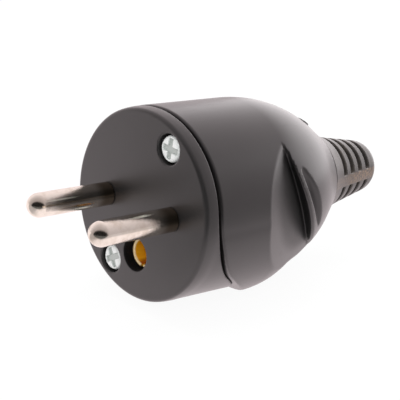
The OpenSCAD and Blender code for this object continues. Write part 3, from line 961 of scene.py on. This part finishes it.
# Pieces that show, each in the place of its solid
moulded("face_moulding", "pin_carrier", face_plastic, carrier_field, step=0.30)
moulded("housing_shell", "housing", housing_plastic, housing_field, step=0.375)
moulded("ribbed_boot", "cable_boot", rubber, boot_field, step=0.26)
moulded("left_contact", "left_pin", nickel, pin_field(-1), step=0.2)
moulded("right_contact", "right_pin", nickel, pin_field(1), step=0.2)
moulded("earth_sleeve", "earth_contact", brass, earth_field, step=0.2)
moulded("upper_screw", "upper_housing_screw", zinc, screw_field(1, UPPER_TURN), step=0.11)
moulded("lower_screw", "lower_housing_screw", zinc, screw_field(-1, LOWER_TURN), step=0.11)

# Solids that stay as they are, inside the housing
inner = {"left_terminal_screw": zinc, "right_terminal_screw": zinc, "earth_terminal_screw": zinc,
         "left_clamp_screw": zinc, "right_clamp_screw": zinc, "cord_clamp": face_plastic}
for name, material in inner.items():
    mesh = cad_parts[name].data
    mesh.materials.clear()
    mesh.materials.append(material)

# Camera where the photograph was taken
EYE = Vector((139.33, -122.92, 57.70)) * MM
EYE_AZIMUTH = math.radians(44.920)
EYE_ELEVATION = math.radians(16.631)
EYE_ROLL = math.radians(5.070)
camera = bpy.data.objects.new("camera", bpy.data.cameras.new("camera"))
bpy.context.scene.collection.objects.link(camera)
swing = Matrix.Rotation(EYE_AZIMUTH, 4, "Z")
tilt = Matrix.Rotation(math.pi / 2 - EYE_ELEVATION, 4, "X")
roll = Matrix.Rotation(EYE_ROLL, 4, "Z")
camera.matrix_world = Matrix.Translation(EYE) @ swing @ tilt @ roll
camera.data.lens = 89.9
camera.data.sensor_width = 36
camera.data.clip_start = 0.01
camera.data.clip_end = 10
bpy.context.scene.camera = camera

# Room around the plug, in metres; the front is towards the camera, the left is the camera's left
MIDDLE = (0, 0.02, 0)
FRONT = (0.706, -0.708, 0.0)
LEFT = (-0.708, -0.706, 0.0)
WARM = (1.0, 0.885, 0.905)
# Brightness of the tent's white cloth against the share of a direction that points to the front
TENT = ((-1.0, 1.0), (-0.5, 1.0), (-0.3, 0.90), (-0.1, 0.70), (0.1, 0.55), (0.38, 0.42), (0.52, 0.01))
TENT_FLATTEN = (1.0, 1.0, 1.9)
# The same for the floor, against the distance to the front
FLOOR = ((-0.06, 1.0), (0.002, 1.0), (0.045, 0.85), (0.07, 0.01))
FLOOR_WEDGE = 0.4
# Where the floor gets darker in gloss, and how much: to the right, and ahead on the left
FLOOR_RIGHT = (0.04, 0.085)
FLOOR_RIGHT_GREY = 0.55
FLOOR_AHEAD = (-0.004, 0.010)
FLOOR_LEFT = (0.012, 0.04)
FLOOR_LEFT_LOSS = 0.6
FLOOR_HALF = 3.0
WHITE = rgb(1, 1, 1)
FLOOR_GREY = rgb(0.09, 0.09, 0.09)
FLOOR_SEEN, FLOOR_GLOW = 0.93, 0.6
ROOM_SEEN, ROOM_GLOW = 1.0, 0.65


def graded(ahead, stops):
    """Grey of the white cloth by how far ahead it is."""
    first, span = stops[0][0], stops[-1][0] - stops[0][0]
    cloth = ahead.node("ShaderNodeValToRGB", (), {"Fac": (ahead - first) * (1 / span)})
    elements = cloth.socket.node.color_ramp.elements
    for at, _ in stops[1:-1]:
        elements.new((at - first) / span)
    for element, (at, grey) in zip(elements, stops):
        element.position = (at - first) / span
        element.color = rgb(grey, grey, grey)
    return cloth


def floor_cloth(spot):
    """Grey of the floor in gloss: darker ahead in a wedge, to the right, and ahead on the left."""
    ahead, leftward = dot(spot, FRONT), dot(spot, LEFT)
    right = dot(spot, (1, 0, 0)).ramp(*FLOOR_RIGHT, 1.0, FLOOR_RIGHT_GREY)
    front_left = ahead.ramp(*FLOOR_AHEAD, 0.0, FLOOR_LEFT_LOSS) * leftward.rise(*FLOOR_LEFT)
    return graded(ahead - absolute(leftward) * FLOOR_WEDGE, FLOOR) * right * (1.0 - front_left)


def white_floor():
    """Large pale floor under the plug, white to the eye, with a faint shadow."""
    material, tree = finish_tree("floor_white")
    seen = tree.node("ShaderNodeLightPath", out="Is Camera Ray")
    glossy = tree.node("ShaderNodeLightPath", out="Is Glossy Ray")
    cloth = floor_cloth(tree.node("ShaderNodeTexCoord", out="Object"))
    plain = tree.node("ShaderNodeEmission", (), {
        "Color": WHITE, "Strength": seen * FLOOR_SEEN + (1 - seen) * FLOOR_GLOW})
    gloss = tree.node("ShaderNodeEmission", (), {"Color": cloth * WARM, "Strength": 1.0})
    glow = tree.node("ShaderNodeMixShader", (), {0: glossy, 1: plain, 2: gloss})
    matte = tree.node("ShaderNodeBsdfDiffuse", (), {"Color": FLOOR_GREY})
    close(tree, tree.node("ShaderNodeAddShader", (), {0: glow, 1: matte}))
    z = cad_box[0].z
    corners = [(a * FLOOR_HALF, b * FLOOR_HALF, z) for a, b in ((-1, -1), (1, -1), (1, 1), (-1, 1))]
    mesh = bpy.data.meshes.new("floor")
    mesh.from_pydata(corners, [], [(0, 1, 2, 3)])
    mesh.materials.append(material)
    floor = bpy.data.objects.new("floor", mesh)
    bpy.context.scene.collection.objects.link(floor)


def white_room():
    """White tent around the plug, plain white to the eye."""
    world = bpy.data.worlds.new("white_room")
    bpy.context.scene.world = world
    world.use_nodes = True
    world.node_tree.nodes.clear()
    tree = Wire(world.node_tree)
    seen = tree.node("ShaderNodeLightPath", out="Is Camera Ray")
    glossy = tree.node("ShaderNodeLightPath", out="Is Glossy Ray")
    through = tree.node("ShaderNodeLightPath", out="Is Transmission Ray")
    plain = tree.node("ShaderNodeBackground", (), {
        "Color": WHITE, "Strength": (seen + through) * (ROOM_SEEN - ROOM_GLOW) + ROOM_GLOW})
    way = tree.node("ShaderNodeTexCoord", out="Generated") * TENT_FLATTEN
    way = tree.node("ShaderNodeVectorMath", {"operation": "NORMALIZE"}, {0: way})
    cloth = tree.node("ShaderNodeBackground", (), {
        "Color": graded(dot(way, FRONT), TENT) * WARM, "Strength": 1.0})
    tree.node("ShaderNodeOutputWorld", (), {
        "Surface": tree.node("ShaderNodeMixShader", (), {0: glossy, 1: plain, 2: cloth})})


def soft_lamp(name, at, span, power, glossy=False):
    """Soft lamp that shines on the plug and shows, if at all, only in gloss."""
    data = bpy.data.lights.new(name, "AREA")
    data.shape = "RECTANGLE"
    data.size, data.size_y = span
    data.energy = power
    lamp = bpy.data.objects.new(name, data)
    lamp.location = at
    lamp.rotation_mode = "QUATERNION"
    lamp.rotation_quaternion = (Vector(MIDDLE) - Vector(at)).to_track_quat("-Z", "Y")
    lamp.visible_camera = False
    lamp.visible_glossy = glossy
    bpy.context.scene.collection.objects.link(lamp)


white_floor()
white_room()
soft_lamp("top_lamp", at=(-0.05, 0.05, 0.55), span=(0.4, 0.4), power=1.0)
soft_lamp("front_lamp", at=(0.35, -0.45, 0.25), span=(0.3, 0.3), power=1.8)
soft_lamp("back_lamp", at=(-0.13, 0.90, 0.26), span=(1.24, 0.66), power=2.75, glossy=True)
bpy.context.scene.view_settings.view_transform = "Standard"
